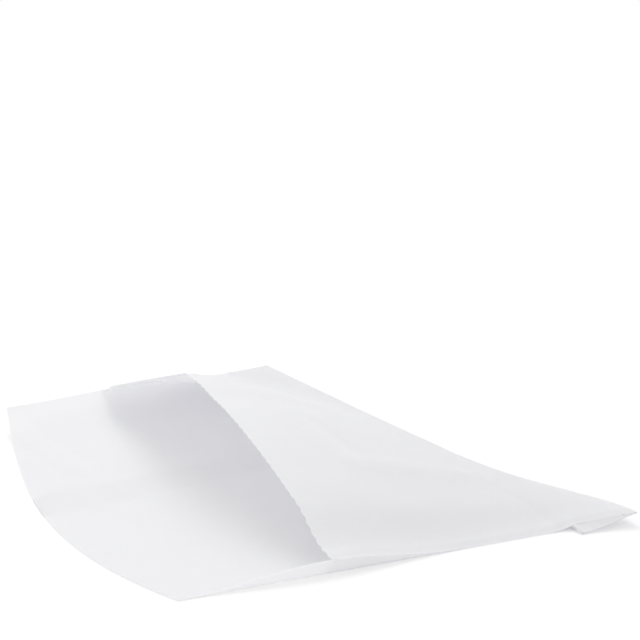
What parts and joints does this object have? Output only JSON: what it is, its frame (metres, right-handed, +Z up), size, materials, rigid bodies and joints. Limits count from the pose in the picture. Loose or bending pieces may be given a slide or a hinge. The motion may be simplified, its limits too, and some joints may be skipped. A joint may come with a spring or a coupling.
{
  "type": "paper fry bag",
  "caption": "Flat greaseproof paper bag on its back, mouth propped open, with a long rounded lip and a zigzag-cut front edge, for serving hot snacks.",
  "frame": {"origin": "middle of the bag's footprint, on the surface that it lies on", "axes": "+X from the lip to the bottom fold, +Y across the bag to its far side, +Z up"},
  "size_m": [0.1406, 0.183, 0.0309],
  "materials": {
    "greaseproof_paper": "smooth white greaseproof paper, slightly translucent"
  },
  "bodies": {
    "root": {"paper_bag": "greaseproof_paper"}
  },
  "joints": []
}
